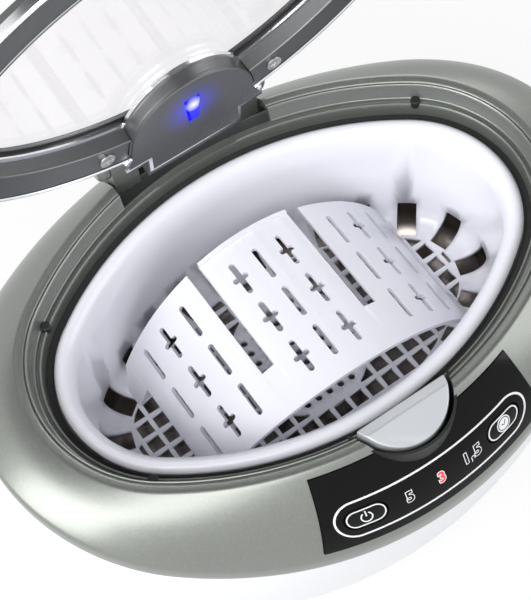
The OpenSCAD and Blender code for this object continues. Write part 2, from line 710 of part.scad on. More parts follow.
// Round holes inside the middle field, square holes from there to the floor's edge
module floor_holes() {
    field_n = ceil(field_r / round_pitch);
    intersection() {
        circle(field_r - 0.8, $fn = arc_fn);
        for (i = [-field_n:field_n], j = [-field_n:field_n])
            if (norm([i, j]) * round_pitch < field_r - 0.3 * round_hole)
                translate([i * round_pitch, j * round_pitch]) circle(round_hole / 2, $fn = 24);
    }
    edge = floor_half - 3.5;
    difference() {
        intersection() {
            oval(edge, $fn = arc_fn);
            for (i = [-ceil(edge / grid_pitch):ceil(edge / grid_pitch)], j = [-6:6])
                if (norm([i, j]) * grid_pitch > field_r - grid_hole / 2) square_hole(i, j, edge);
        }
        circle(field_r + 0.9, $fn = arc_fn);
    }
}
module square_hole(i, j, edge)
    if (pow(i * grid_pitch / (edge + 1), 2) + pow(j * grid_pitch / (edge - inner_diff + 1), 2) < 1)
        translate([i * grid_pitch, j * grid_pitch]) square(grid_hole, center = true);

// Arched insert: three slotted tongues joined along the front, on two open feet
insert_z = basket_floor_z + 0.3;
insert_half = floor_half - foot_inset;
insert_rise = rim_z - crest_drop - insert_z;
insert_r = (insert_half * insert_half + insert_rise * insert_rise) / (2 * insert_rise);
insert_bow_r = 340;
cross_column = 9;
side_column = 30;
column_step = 10;
column_turn = 180 / PI / insert_r;
lip_t = 1.2;

// Arched shell along Y whose outer face has radius r
module arch(r) translate([0, 0, insert_z + insert_rise - insert_r]) rotate([90, 0, 0]) difference() {
    cylinder(r = r, h = far, center = true, $fn = 192);
    cylinder(r = insert_r - insert_t, h = far, center = true, $fn = 192);
}

// Places a slot at a distance along the arch, in one of three rows
module at_slot(along, row)
    translate([0, row * slot_row, insert_z + insert_rise - insert_r]) rotate([0, along * column_turn, 0])
        translate([0, 0, insert_r - 6]) linear_extrude(12) children();

// Slot with round ends, along y
module slot_outline(l) {
    square([slot_w, l - slot_w], center = true);
    for (y = [-1, 1]) translate([0, y * (l - slot_w) / 2]) circle(slot_w / 2, $fn = 24);
}

module insert() color("white") difference() {
    intersection() {
        union() {
            arch(insert_r);
            intersection() {
                arch(insert_r + lip_t);
                translate([-tongue_half, insert_deep - 1.6, 0]) cube([2 * tongue_half, 10, far]);
            }
        }
        translate([0, insert_deep - insert_bow_r, 0]) cylinder(r = insert_bow_r, h = far, $fn = arc_fn);
        translate([0, insert_bow_r - insert_deep, 0]) cylinder(r = insert_bow_r, h = far, $fn = arc_fn);
        translate([-insert_half - 1, -far / 2, insert_z]) cube([2 * insert_half + 2, far, far]);
    }
    // Clear of the basket's round corner and wall
    carry() polygon([
        [floor_half + 0.8, insert_z - 1], [far / 3, insert_z - 1], [far / 3, insert_z + basket_r],
        [basket_low - basket_t - 1, insert_z + basket_r]]);
    // Gaps beside the middle tongue
    for (x = [-1, 1]) translate([x * (tongue_half + tongue_gap / 2), 50 - 13.5, 0])
        cube([tongue_gap, 100, far], center = true);
    translate([0, 0, insert_z]) cube([far, 2 * foot_open, 2 * foot_open_h], center = true);
    for (row = [-1:1]) {
        at_slot(0, row) slot_outline(slot_l);
        for (side = [-1, 1]) {
            for (step = [0, 2]) at_slot(side * (side_column + step * column_step), row) slot_outline(slot_l);
            for (along = [cross_column, side_column + column_step]) at_slot(side * along, row) {
                slot_outline(slot_l);
                rotate([0, 0, 90]) slot_outline(2.8 * slot_w);
            }
        }
    }
}
upper_housing();
lower_housing();
base_plate();
foot(-1, -1);  // foot_front_left
foot(1, -1);  // foot_front_right
foot(-1, 1);  // foot_back_left
foot(1, 1);  // foot_back_right
base_screws();
tank();
tank_seal();
transducer_horn();
piezo_rings();
transducer_backing();
transducer_bolt();
driver_board();
driver_transformer();
driver_capacitors();
heat_sink();
power_inlet();
control_panel();
control_board();
key_switches();
timer_lamps();
power_key();
timer_key();
latch_button();
latch_spring();
hinge_block_left();
hinge_block_right();
hinge_pin_left();
hinge_pin_right();
lid_bumpers();
lid_ring();
lid_cover();
lid_trim();
lid_window();
lamp_boss();
lamp_lens();
lamp_board();
lid_screws();
basket();
insert();
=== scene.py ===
# %% [markdown]
# # Ultrasonic cleaner with its lid open
# A table-top cleaner: a silver painted top on a white body, a window lid on
# two hinges, a black touch panel, and a white basket with an arched insert.
# The CAD frame already holds every part at its real size, so each step takes
# its sizes from the frame and only adds the curved skins and the finishes.

import bmesh
import bpy
import numpy as np
from mathutils import Matrix, Vector


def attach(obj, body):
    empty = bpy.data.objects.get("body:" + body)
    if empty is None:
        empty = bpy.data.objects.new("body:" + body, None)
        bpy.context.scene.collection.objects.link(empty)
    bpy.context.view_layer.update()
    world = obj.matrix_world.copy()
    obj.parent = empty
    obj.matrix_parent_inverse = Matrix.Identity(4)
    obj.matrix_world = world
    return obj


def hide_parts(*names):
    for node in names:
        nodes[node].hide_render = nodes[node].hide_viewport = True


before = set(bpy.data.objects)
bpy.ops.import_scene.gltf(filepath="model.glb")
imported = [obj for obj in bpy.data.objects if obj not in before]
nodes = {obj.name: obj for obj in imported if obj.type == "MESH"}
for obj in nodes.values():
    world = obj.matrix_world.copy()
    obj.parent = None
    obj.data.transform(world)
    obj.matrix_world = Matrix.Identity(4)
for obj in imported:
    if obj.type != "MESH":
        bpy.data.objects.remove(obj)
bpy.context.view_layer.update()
scene = bpy.context.scene
MM = 0.001

# %% [markdown]
# ## Camera
# The view looks down from the front left. The camera is set by its own three
# axes, so no target object is needed.

# %% Camera
camera = bpy.data.objects.new("camera", bpy.data.cameras.new("camera"))
scene.collection.objects.link(camera)
camera.data.lens = 93.36
camera.data.clip_start = 0.01
CAMERA_PLACE = (-0.1172, -0.2023, 0.5158)
CAMERA_RIGHT = (0.8243, -0.5629, -0.0615)
CAMERA_UP = (0.5192, 0.7080, 0.4790)
CAMERA_BACK = (-0.2260, -0.4267, 0.8757)
camera_axes = Matrix((CAMERA_RIGHT, CAMERA_UP, CAMERA_BACK)).transposed()
camera.matrix_world = Matrix.Translation(CAMERA_PLACE) @ camera_axes.to_4x4()
scene.camera = camera
print("camera lens", camera.data.lens)

# %% [markdown]
# ## Light
# A studio shot: wide soft lamps on the left and high in front, weaker ones on
# the right and behind, and a pale world. Silver paint needs something bright
# to mirror, so the lamps are wide and near. Rays that go straight to the
# world, or through a mirror or glass, see plain white instead of its colour.

# %% Lamps and world
scene.view_settings.view_transform = "Standard"


LIT_POINT = Vector((0, 0, 0.08))


def soft_lamp(name, spot, size, power):
    """Square lamp of the given side, in metres, turned to face the object."""
    data = bpy.data.lights.new(name, "AREA")
    data.size = size
    data.energy = power
    lamp = bpy.data.objects.new(name, data)
    scene.collection.objects.link(lamp)
    lamp.location = spot
    lamp.rotation_euler = (LIT_POINT - Vector(spot)).to_track_quat("-Z", "Y").to_euler()


soft_lamp("left_lamp", (-0.75, -0.1, 0.55), 0.6, 6.5)
soft_lamp("top_lamp", (-0.4, -0.5, 1.0), 0.6, 6.0)
soft_lamp("right_lamp", (0.7, -0.5, 0.5), 0.5, 2.0)
soft_lamp("back_lamp", (0.6, 0.75, 0.75), 0.6, 3.0)


def sees_background(tree):
    """1 for rays from the camera, from a mirror or through glass, else 0."""
    path = tree.nodes.new("ShaderNodeLightPath")
    total = path.outputs["Is Camera Ray"]
    for ray in ("Is Glossy Ray", "Is Transmission Ray"):
        add = tree.nodes.new("ShaderNodeMath")
        add.operation = "ADD"
        add.use_clamp = True
        tree.links.new(total, add.inputs[0])
        tree.links.new(path.outputs[ray], add.inputs[1])
        total = add.outputs[0]
    return total


world = bpy.data.worlds.new("studio")
scene.world = world
world.use_nodes = True
world_tree = world.node_tree
world_tree.nodes.clear()
ambient = world_tree.nodes.new("ShaderNodeBackground")
ambient.inputs["Color"].default_value = (0.82, 0.86, 0.92, 1)
ambient.inputs["Strength"].default_value = 0.42
white = world_tree.nodes.new("ShaderNodeBackground")
white.inputs["Color"].default_value = (1, 1, 1, 1)
world_mix = world_tree.nodes.new("ShaderNodeMixShader")
world_output = world_tree.nodes.new("ShaderNodeOutputWorld")
world_tree.links.new(sees_background(world_tree), world_mix.inputs[0])
world_tree.links.new(ambient.outputs[0], world_mix.inputs[1])
world_tree.links.new(white.outputs[0], world_mix.inputs[2])
world_tree.links.new(world_mix.outputs[0], world_output.inputs["Surface"])

# %% [markdown]
# ## Finishes
# Real plastic and paint are never one flat number. Three effects serve all
# the finishes, so each is one node group: a fine moulded grain, the flakes of
# metallic paint, and the long scratches of brushed metal.


# %% Effect groups
def srgb(r, g, b):
    """Colour written as 0 to 255 to the linear values that shaders take."""
    c = np.array([r, g, b]) / 255
    return (*np.where(c <= 0.04045, c / 12.92, ((c + 0.055) / 1.055) ** 2.4), 1)


def effect_group(name, source, stretch=(1, 1, 1)):
    """Group that turns a 3-D pattern on Object coordinates into a colour, a
    roughness and a height: each is its middle value plus pattern times
    spread. A second, wide noise adds the slow change over a whole moulding."""
    g = bpy.data.node_groups.new(name, "ShaderNodeTree")
    for label, kind, value in (
            ("Scale", "NodeSocketFloat", 1000), ("Colour", "NodeSocketColor", (0.5, 0.5, 0.5, 1)),
            ("Colour spread", "NodeSocketFloat", 0.1), ("Roughness", "NodeSocketFloat", 0.4),
            ("Roughness spread", "NodeSocketFloat", 0.1)):
        g.interface.new_socket(name=label, in_out="INPUT", socket_type=kind).default_value = value
    for label, kind in (("Colour", "NodeSocketColor"), ("Roughness", "NodeSocketFloat"),
                        ("Height", "NodeSocketFloat")):
        g.interface.new_socket(name=label, in_out="OUTPUT", socket_type=kind)
    new, link = g.nodes.new, g.links.new
    inp, outp = new("NodeGroupInput"), new("NodeGroupOutput")
    coords, mapping = new("ShaderNodeTexCoord"), new("ShaderNodeMapping")
    mapping.inputs["Scale"].default_value = stretch
    link(coords.outputs["Object"], mapping.inputs["Vector"])
    fine = new(source)
    link(mapping.outputs[0], fine.inputs["Vector"])
    link(inp.outputs["Scale"], fine.inputs["Scale"])
    pattern = fine.outputs["Fac"] if source == "ShaderNodeTexNoise" else fine.outputs["Color"]
    wide = new("ShaderNodeTexNoise")
    wide.inputs["Scale"].default_value = 22
    link(coords.outputs["Object"], wide.inputs["Vector"])

    def math(kind, a, b, c=None):
        node = new("ShaderNodeMath")
        node.operation = kind
        for k, v in enumerate((a, b, c)):
            if isinstance(v, (int, float)):
                node.inputs[k].default_value = v
            elif v is not None:
                link(v, node.inputs[k])
        return node.outputs[0]

    centred = math("SUBTRACT", pattern, 0.5)
    slow = math("SUBTRACT", wide.outputs["Fac"], 0.5)
    both = math("MULTIPLY_ADD", slow, 0.6, centred)
    link(math("MULTIPLY_ADD", both, inp.outputs["Roughness spread"], inp.outputs["Roughness"]),
         outp.inputs["Roughness"])
    factor = math("MULTIPLY_ADD", both, inp.outputs["Colour spread"], 1.0)
    scaled = new("ShaderNodeVectorMath")
    scaled.operation = "SCALE"
    link(inp.outputs["Colour"], scaled.inputs[0])
    link(factor, scaled.inputs["Scale"])
    link(scaled.outputs[0], outp.inputs["Colour"])
    link(pattern, outp.inputs["Height"])
    return g


grain = effect_group("moulded_grain", "ShaderNodeTexNoise")
flakes = effect_group("paint_flakes", "ShaderNodeTexVoronoi")
brushed = effect_group("brushed_lines", "ShaderNodeTexNoise", (1, 14, 14))
print("groups", [g.name for g in bpy.data.node_groups])

# %% [markdown]
# ## One finish for each material
# A finish is a name, a colour, an effect group with the scale of its pattern,
# a roughness, how far colour and roughness spread, and how deep the relief
# is. Anything else, such as how metallic it is, goes by the socket's name.


# %% Finish maker
def finish(name, colour, effect=None, scale=1500.0, rough=0.4, spread=(0.08, 0.1), bump=10.0, **sockets):
    """Principled material. The effect group varies its colour, roughness and
    fine height, with the bump in micrometres. Plain sockets go by keyword."""
    material = bpy.data.materials.new(name)
    material.use_nodes = True
    material.diffuse_color = colour
    tree = material.node_tree
    shader = tree.nodes["Principled BSDF"]
    shader.inputs["Base Color"].default_value = colour
    shader.inputs["Roughness"].default_value = rough
    for key, value in sockets.items():
        shader.inputs[key.replace("_", " ")].default_value = value
    if effect:
        group = tree.nodes.new("ShaderNodeGroup")
        group.node_tree = effect
        group.inputs["Scale"].default_value = scale
        group.inputs["Colour"].default_value = colour
        group.inputs["Roughness"].default_value = rough
        group.inputs["Colour spread"].default_value = spread[0]
        group.inputs["Roughness spread"].default_value = spread[1]
        relief = tree.nodes.new("ShaderNodeBump")
        relief.inputs["Distance"].default_value = bump * 1e-6
        tree.links.new(group.outputs["Colour"], shader.inputs["Base Color"])
        tree.links.new(group.outputs["Roughness"], shader.inputs["Roughness"])
        tree.links.new(group.outputs["Height"], relief.inputs["Height"])
        tree.links.new(relief.outputs[0], shader.inputs["Normal"])
    return material


FINISH = {
    "silver_housing": finish("silver_paint", srgb(133, 136, 131), flakes, 2600, 0.33, (0.14, 0.1), 3,
                             Metallic=0.62, Coat_Weight=0.15, Coat_Roughness=0.2),
    "white_housing": finish("white_plastic", srgb(228, 229, 231), grain, 900, 0.3, (0.02, 0.08), 6),
    "base_plastic": finish("base_plastic", srgb(214, 215, 217), grain, 1400, 0.5, (0.04, 0.1), 15),
    "rubber": finish("foot_rubber", srgb(34, 34, 35), grain, 1800, 0.75, (0.1, 0.1), 25),
    "steel": finish("tank_steel", srgb(158, 150, 143), brushed, 700, 0.26, (0.12, 0.14), 6, Metallic=1.0),
    "screw_steel": finish("screw_steel", srgb(205, 205, 204), brushed, 1600, 0.24, (0.08, 0.1), 5,
                          Metallic=1.0),
    "aluminium": finish("turned_aluminium", srgb(214, 214, 214), brushed, 1200, 0.32, (0.08, 0.1), 8,
                        Metallic=1.0),
    "ceramic": finish("fired_ceramic", srgb(204, 194, 172), grain, 2200, 0.55, (0.1, 0.1), 12),
    "board_green": finish("board_lacquer", srgb(40, 110, 62), grain, 800, 0.35, (0.12, 0.1), 8),
    "ferrite": finish("ferrite", srgb(78, 78, 80), grain, 2400, 0.6, (0.12, 0.1), 20),
    "capacitor_sleeve": finish("capacitor_sleeve", srgb(48, 62, 112), grain, 900, 0.35, (0.06, 0.06), 5),
    "black_plastic": finish("black_plastic", srgb(30, 30, 31), grain, 1700, 0.5, (0.12, 0.12), 15),
    "panel_black": finish("panel_gloss", srgb(8, 8, 9), grain, 300, 0.1, (0.1, 0.03), 0.5,
                          Specular_IOR_Level=0.16),
    "key_black": finish("key_gloss", srgb(11, 11, 12), grain, 300, 0.14, (0.1, 0.04), 0.5,
                        Specular_IOR_Level=0.22),
    "lamp_red": finish("lamp_red", srgb(220, 60, 60), grain, 900, 0.3, (0.04, 0.04), 2),
    "latch_silver": finish("latch_paint", srgb(196, 199, 202), grain, 1500, 0.4, (0.03, 0.06), 2,
                           Metallic=0.45),
    "lid_grey": finish("lid_paint", srgb(104, 106, 106), flakes, 2600, 0.34, (0.14, 0.1), 4, Metallic=0.6),
    "trim_chrome": finish("trim_chrome", srgb(232, 234, 237), grain, 500, 0.16, (0.02, 0.04), 1,
                          Metallic=1.0),
    "window_clear": finish("window_clear", srgb(250, 248, 250), None, rough=0.02,
                           Transmission_Weight=1.0, IOR=1.3),
    "boss_grey": finish("boss_paint", srgb(112, 113, 114), flakes, 2600, 0.32, (0.12, 0.1), 3, Metallic=0.75),
    "lens_blue": finish("lens_lit", srgb(0, 0, 150), grain, 700, 0.15, (0.1, 0.05), 2,
                        Emission_Color=srgb(0, 0, 250), Emission_Strength=1.0),
    "basket_white": finish("basket_plastic", srgb(232, 232, 239), grain, 700, 0.2, (0.02, 0.08), 5),
}
MARK_WHITE = finish("mark_white", srgb(236, 236, 238), grain, 1200, 0.45, (0.04, 0.06), 3)
MARK_RED = finish("mark_red", srgb(236, 60, 66), grain, 1200, 0.45, (0.04, 0.06), 3,
                  Emission_Color=srgb(255, 50, 60), Emission_Strength=0.5)
print("finishes", len(FINISH))

# %% [markdown]
# ## Floor
# A plain pale floor keeps the shadow that stands the object on the table. A
# share of plain white, seen only by the camera, mirrors and glass, lifts it.
# A grey card high above gives paint and metal something darker to mirror.


# %% Floor and card
def flat_card(name, left, right, front, back, height, turned, material):
    """Rectangle of the given edges, in metres, facing up or turned to face down."""
    mesh = bpy.data.meshes.new(name)
    corners = [(left, front, height), (right, front, height), (right, back, height), (left, back, height)]
    mesh.from_pydata(corners, [], [(0, 3, 2, 1) if turned else (0, 1, 2, 3)])
    mesh.materials.append(material)
    card = bpy.data.objects.new(name, mesh)
    scene.collection.objects.link(card)
    return card


WHITE_SHARE = 0.85
floor_finish = finish("floor_white", srgb(240, 240, 240), grain, 60, 0.8, (0.01, 0.05), 10)
floor_tree = floor_finish.node_tree
plain_white = floor_tree.nodes.new("ShaderNodeEmission")
floor_mix = floor_tree.nodes.new("ShaderNodeMixShader")
white_share = floor_tree.nodes.new("ShaderNodeMath")
white_share.operation = "MULTIPLY"
white_share.inputs[1].default_value = WHITE_SHARE
floor_tree.links.new(sees_background(floor_tree), white_share.inputs[0])
floor_tree.links.new(white_share.outputs[0], floor_mix.inputs[0])
floor_tree.links.new(floor_tree.nodes["Principled BSDF"].outputs[0], floor_mix.inputs[1])
floor_tree.links.new(plain_white.outputs[0], floor_mix.inputs[2])
floor_tree.links.new(floor_mix.outputs[0], floor_tree.nodes["Material Output"].inputs["Surface"])
card_finish = finish("ceiling_grey", srgb(130, 130, 132), grain, 60, 0.9, (0.01, 0.05), 10)
floor = flat_card("floor", -3, 3, -3, 3, 0, False, floor_finish)
ceiling = flat_card("ceiling", -1.2, 2.4, -1, 2.8, 2, True, card_finish)
print("stage", [tuple(round(v, 2) for v in card.dimensions) for card in (floor, ceiling)])

# %% [markdown]
# ## Smooth copies of the machined parts
# Many CAD parts have the right shape but sharp edges and loose triangles. A
# copy is merged, its flat areas are joined, and a small bevel catches the
# light on every edge, as on the real mouldings. The copy stands for the node.


# %% Mesh helpers
def place(obj, slot, body, *replaced):
    """Gives a new piece its finish, its body and the CAD nodes it stands for."""
    if not obj.data.materials:
        obj.data.materials.append(FINISH[slot])
    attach(obj, body)
    if replaced:
        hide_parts(*replaced)
    return obj


def new_piece(name, points, faces, angle=35):
    """Mesh object from an array of points and an array of quads."""
    mesh = bpy.data.meshes.new(name)
    mesh.from_pydata(points.reshape(-1, 3), [], faces)
    obj = bpy.data.objects.new(name, mesh)
    scene.collection.objects.link(obj)
    tidy_mesh(obj, angle)
    return obj


FLAT_ANGLE = 0.6  # degrees between two faces that count as one flat face


def tidy_mesh(obj, angle, merge=1e-6, dissolve=False):
    """Merges doubles, then joins flat neighbours or else points the faces
    outwards, and smooths all edges that are blunter than the angle in degrees."""
    bm = bmesh.new()
    bm.from_mesh(obj.data)
    bmesh.ops.remove_doubles(bm, verts=bm.verts, dist=merge)
    if dissolve:
        bmesh.ops.dissolve_limit(bm, angle_limit=np.radians(FLAT_ANGLE), verts=bm.verts, edges=bm.edges)
    else:
        bmesh.ops.recalc_face_normals(bm, faces=bm.faces)
    bm.to_mesh(obj.data)
    bm.free()
    obj.data.shade_smooth()
    obj.data.set_sharp_from_angle(angle=np.radians(angle))


def smooth_copy(node, slot, body, bevel=0.3, angle=30, segments=2):
    """Merged copy of a CAD node with rounded edges of the given width in mm."""
    source = nodes[node]
    obj = bpy.data.objects.new(node + "_skin", source.data.copy())
    scene.collection.objects.link(obj)
    obj.data.materials.clear()
    tidy_mesh(obj, angle, 2e-6, dissolve=bevel > 0)
    if bevel > 0:
        edge = obj.modifiers.new("rounded_edges", "BEVEL")
        edge.width = bevel * MM
        edge.segments = segments
        edge.limit_method = "ANGLE"
        edge.angle_limit = np.radians(angle)
        edge.harden_normals = True
        edge.miter_outer = "MITER_ARC"
    return place(obj, slot, body, node)


# %% [markdown]
# ## The oval family
# Every edge of the body is an oval of four arcs. The end arcs are centred 1.5
# d from the middle and the side arcs 2 d beyond it, and the direction of the
# outward normal says which arc a point lies on. So one array of normal angles
# serves all ovals, and a profile is carried round by adding to the radius.

# %% Oval functions
# Two values of d, then three edges of the bevel as half length, d, height at
# the ends of the oval, and how much lower the edge is at the front; all in mm.
INNER, OUTER = 29.4, 26.0
CREST = (90.3, INNER, 108.8, 0.0)
MID = (98.32, OUTER, 106.59, 10.19)
EDGE = (105.3, OUTER, 102.2, 21.0)
END_COS = 0.6  # the arcs meet where the normal's cosine has this size
turn = np.linspace(0, 2 * np.pi, 481)[:-1]


def oval(a, d, angle):
    """Point of the oval with half length a and difference d, in mm: the arc's
    centre plus its radius times the outward normal at that angle."""
    cos, sin = np.cos(angle), np.sin(angle)
    end = np.abs(cos) >= END_COS
    x = np.where(end, 1.5 * d * np.sign(cos), 0) + np.where(end, a - 1.5 * d, a + d) * cos
    y = np.where(end, 0, -2 * d * np.sign(sin)) + np.where(end, a - 1.5 * d, a + d) * sin
    return x, y


def arch_fall(y, half, drop):
    """How far a drum of height drop at y = half has fallen at y: r minus the
    root of r squared less y squared."""
    if drop <= 0:
        return np.zeros_like(y)
    r = (half * half + drop * drop) / (2 * drop)
    return r - np.sqrt(np.maximum(r * r - y * y, 0))


def ring(row, angle, grow=0.0, lift=0.0):
    """Closed edge of the body, as points in mm: the oval of the row, on its drum."""
    a, d, z, drop = row
    x, y = oval(a + grow, d, angle)
    return np.stack([x, y, z + lift - arch_fall(y, a - d, drop)], -1)


def bevel_weights(v):
    """Weights of the crest, the middle and the lower edge at v, from 0 to 1:
    those of the parabola through values at 0, 1/2 and 1."""
    return np.stack([2 * (v - 0.5) * (v - 1), -4 * v * (v - 1), 2 * v * (v - 0.5)], -1)


def bevel_ring(v, angle, grow=0.0, lift=0.0):
    """Bevel at v from 0, the crest, to 1, its lower edge: the parabola through
    the crest, the middle and the lower edge at the same normal angle."""
    edges = np.stack([ring(row, angle, grow, lift) for row in (CREST, MID, EDGE)])
    return np.einsum("k,knc->nc", bevel_weights(v), edges)


def grid_faces(nu, nv, close_u, close_v):
    """Quads of a grid of nu by nv points, as rows of four numbers."""
    u, v = np.meshgrid(np.arange(nu - (not close_u)), np.arange(nv - (not close_v)), indexing="ij")
    u1, v1 = (u + 1) % nu, (v + 1) % nv
    return np.stack([u * nv + v, u1 * nv + v, u1 * nv + v1, u * nv + v1], -1).reshape(-1, 4)


def cut(obj, *tools):
    """Takes the tools out of the piece and removes them."""
    for tool in tools:
        opening = obj.modifiers.new("opening", "BOOLEAN")
        opening.object = tool
        opening.operation = "DIFFERENCE"
        opening.solver = "EXACT"
    graph = bpy.context.evaluated_depsgraph_get()
    cut_mesh = bpy.data.meshes.new_from_object(obj.evaluated_get(graph))
    obj.modifiers.clear()
    obj.data = cut_mesh
    for tool in tools:
        bpy.data.objects.remove(tool)


def prism(name, outline, low, high):
    """Cutting tool: an upright solid over an outline, between two heights in mm."""
    n = len(outline)
    flat = np.asarray(outline, float)
    points = np.concatenate([np.column_stack([flat, np.full(n, z)]) for z in (low, high)]) * MM
    faces = [list(range(n))[::-1], list(range(n, 2 * n))]
    faces += [[i, (i + 1) % n, n + (i + 1) % n, n + i] for i in range(n)]
    mesh = bpy.data.meshes.new(name)
    mesh.from_pydata(points, [], faces)
    obj = bpy.data.objects.new(name, mesh)
    scene.collection.objects.link(obj)
    return obj


def stacked(levels):
    """Grid of points in mm from flat paths, each laid at its own height."""
    return np.stack([np.column_stack([flat, np.full(len(flat), z)]) for flat, z in levels], 1)


def strip_faces(count, closed=False):
    """Faces of a strip with four-cornered sections: its sides and, where it is
    open, its two ends."""
    sides = grid_faces(count, 4, closed, True)
    if closed:
        return sides
    last = (count - 1) * 4
    return np.vstack([sides, [[0, 1, 2, 3], [last + 3, last + 2, last + 1, last]]])


print("half width at the crest", CREST[0] - INNER, "and at the lower edge", EDGE[0] - OUTER)

# %% [markdown]
# ## Silver top housing
# The painted top is one closed skin: up the recess wall, over the lip, up the
# slope with its fine step, over a groove and the crest, down the bulging
# bevel, and back inside. The hinge recess, the panel and the latch are cut
# out of it afterwards, because each breaks through several of its bands.

# %% Top housing
WALL = 2.3
lip_profile = [
    (82.7, 97.6), (83.1, 100.9), (83.15, 101.8), (83.25, 102.3), (83.5, 102.6), (83.85, 102.6),
    (84.05, 102.35), (84.15, 102.0), (84.8, 101.95), (84.85, 102.9), (84.95, 103.3), (85.15, 103.5),
    (85.4, 103.55), (85.55, 103.9), (86.3, 107.2), (86.35, 107.9), (86.5, 108.3), (86.75, 108.5),
    (87.0, 108.4), (87.1, 108.1), (87.15, 107.7), (87.35, 107.65), (87.5, 108.15), (87.75, 108.45),
    (88.4, 108.6), (89.4, 108.78), (90.05, 108.86)]
down_the_bevel = (0.02, 0.05, 0.1, 0.16, 0.24, 0.32, 0.4, 0.5, 0.6, 0.7, 0.8, 0.88, 0.94, 0.98)
skirt = ((0.12, -0.5), (0.2, -1.2), (0.25, -3), (0.25, -5.2), (0.05, -5.8), (-0.4, -6), (0.1 - WALL, -6),
         (-WALL, -5))
under_the_bevel = (0.95, 0.8, 0.6, 0.4, 0.2, 0.05)
inside_wall = ((87.9, 106.4), (86.9, 105.6), (86.0, 102.6), (85.2, 100.6), (84.9, 97.6))
skin = [ring((a, INNER, z, 0.0), turn) for a, z in lip_profile]
skin += [bevel_ring(v, turn) for v in down_the_bevel]
skin += [ring(EDGE, turn, grow, lift) for grow, lift in skirt]
skin += [bevel_ring(v, turn, -WALL, -2.0) for v in under_the_bevel]
skin += [ring((a, INNER, z, 0.0), turn) for a, z in inside_wall]
surface = np.stack(skin, 1) * MM
top = new_piece("top_housing", surface, grid_faces(*surface.shape[:2], True, True), 40)


MOON_HALF, MOON_DEPTH, MOON_CHORD = 15.5, 12.8, -54.7


def moon_outline(grow=0.0, back=0.0, steps=40):
    """Half moon of the latch seen from above, from one end of its chord to the
    other: for half chord c and depth s the arc's radius is (c^2 + s^2) / 2 s.
    It is widened by grow, and the chord is moved back, in mm."""
    radius = (MOON_HALF ** 2 + MOON_DEPTH ** 2) / (2 * MOON_DEPTH)
    centre = radius + MOON_CHORD - MOON_DEPTH
    radius += grow
    half = np.arccos(np.clip((centre - MOON_CHORD - back) / radius, -1, 1))
    angle = np.linspace(-np.pi / 2 - half, -np.pi / 2 + half, steps)
    return np.column_stack([radius * np.cos(angle), centre + radius * np.sin(angle)])


ABOVE = 140.0  # a height that clears the housing, for cutting tools


def recess_tool(name, front, back, floor_height):
    """Cutting tool of the hinge recess from its front to its back edge."""
    corners = [(-28, front), (28, front), (28, back), (-28, back)]
    return prism(name, corners, floor_height, ABOVE)


def latch_tool():
    """Cutting tool of the well that the latch moves in, with room all round."""
    return prism("latch_tool", moon_outline(1.5, 0.5), 78, ABOVE)


recess = recess_tool("recess_tool", 53.0, 110, 102.25)
recess_front = recess_tool("recess_front_tool", 49.9, 60, 102.65)
cut(top, recess, recess_front, latch_tool())
print("top housing faces", len(top.data.polygons))

# %% [markdown]
# ## White body
# The side swells out above the feet and then follows the arched band. Where
# each upright line meets the arch is found by repeated substitution.


# %% Body
BODY_LOW, BODY_RISE = 6, 90.2
BODY_HALF, BODY_GAIN, BODY_BULGE = 90, 15.3, 18
BODY_WALL = 2.4
SEAM_Z = 96.0  # height of the seam under the top housing at the ends
INLET_Z, INLET_HALF, INLET_TALL = 26.0, 11.2, 6.2


def body_side(t, angle, grow=0.0):
    """Side at share t of its full height: half length 90 + 15.3 t + 18 t (1 - t)
    and height 6 + 90.2 t, in mm, for each normal angle."""
    a = BODY_HALF + BODY_GAIN * t + BODY_BULGE * t * (1 - t) + grow
    x, y = oval(a, OUTER, angle)
    return np.stack([x, y, BODY_LOW + BODY_RISE * t], -1)


top_share = np.ones_like(turn)
for _ in range(30):
    y = body_side(top_share, turn)[:, 1]
    top_share = (SEAM_Z - arch_fall(y, EDGE[0] - OUTER, EDGE[3]) - BODY_LOW) / BODY_RISE
outside = [body_side(top_share * share, turn) for share in np.linspace(0, 1, 26)[:-2]]
outside += [body_side(top_share - 0.012, turn), body_side(top_share, turn, -0.25)]
seam = ((-0.9, 0.05), (-0.9, 1.2), (-BODY_WALL, 1.2))
seam_rings = [body_side(top_share, turn, grow) + (0, 0, lift) for grow, lift in seam]
inside = [body_side(top_share * share, turn, -BODY_WALL) for share in np.linspace(1, 0, 10)]
rounding = ((83, 4), (87.2, 4), (88.4, 4.3), (89.5, 5.2))
lower_rings = [ring((a, OUTER, z, 0.0), turn) for a, z in rounding]
surface = np.stack(outside + seam_rings + inside + lower_rings, 1) * MM
body = new_piece("white_body", surface, grid_faces(*surface.shape[:2], True, True), 40)
inlet = [(-INLET_HALF, 60), (INLET_HALF, 60), (INLET_HALF, 90), (-INLET_HALF, 90)]
cut(body, prism("inlet_tool", inlet, INLET_Z - INLET_TALL, INLET_Z + INLET_TALL))
tidy_mesh(body, 40)
place(body, "white_housing", "base")
print("body faces", len(body.data.polygons))

# %% [markdown]
# ## Black control panel
# The panel is a thin plate that lies on the bevel. A function gives the point
# of the bevel for a place across and a share down it, so that the panel, its
# keys and all its printed lines share one surface.


